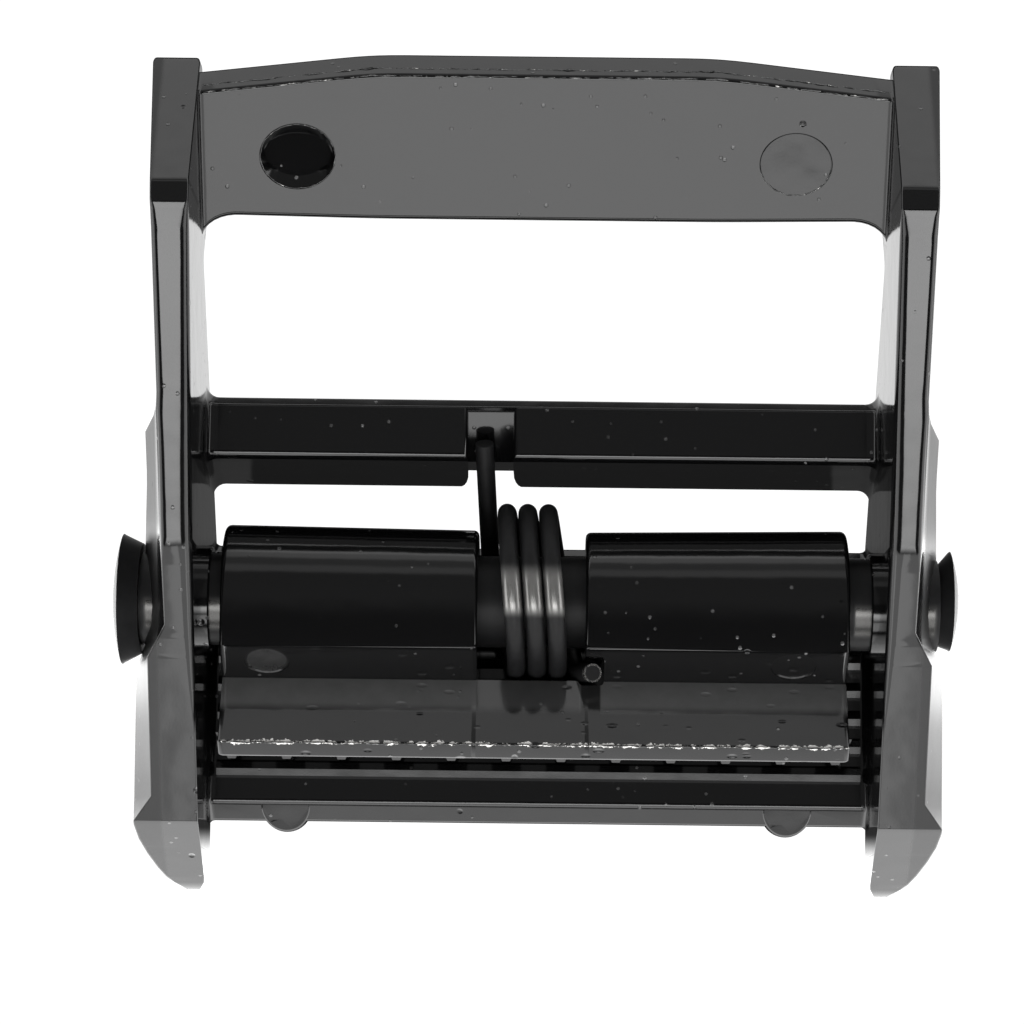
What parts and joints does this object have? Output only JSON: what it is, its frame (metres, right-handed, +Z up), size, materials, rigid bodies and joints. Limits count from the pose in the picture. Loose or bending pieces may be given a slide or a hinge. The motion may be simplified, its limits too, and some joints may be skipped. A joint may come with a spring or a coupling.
{
  "type": "cam buckle",
  "caption": "Cast cam buckle for 38 mm webbing: a ribbed base plate, an anchor plate and a sprung, toothed cam lever that grips the strap.",
  "frame": {"origin": "on the surface that the buckle rests on, under the middle of its box", "axes": "+X across the webbing, +Y towards the anchor plate, +Z up, away from the surface"},
  "size_m": [0.0498, 0.0478, 0.0227],
  "materials": {
    "cast_paint": "glossy black paint on a die casting",
    "lever_paint": "glossy black paint, chipped along the thumb edge",
    "black_pin": "blackened steel",
    "spring_wire": "blackened spring wire with bare cut ends"
  },
  "bodies": {
    "buckle_frame": {"frame": "cast_paint", "pivot_pin": "black_pin", "torsion_spring": "spring_wire"},
    "lever": {"cam_lever": "lever_paint"}
  },
  "joints": [
    {"name": "cam_hinge", "type": "hinge", "parent": "buckle_frame", "child": "lever", "pos_m": [0, -0.007, 0.0087], "axis": [-1, 0, 0], "range_deg": [0, 50], "stiffness_Nm_per_rad": 0.012, "springref_deg": -51.57, "deforming": ["torsion_spring"]}
  ]
}
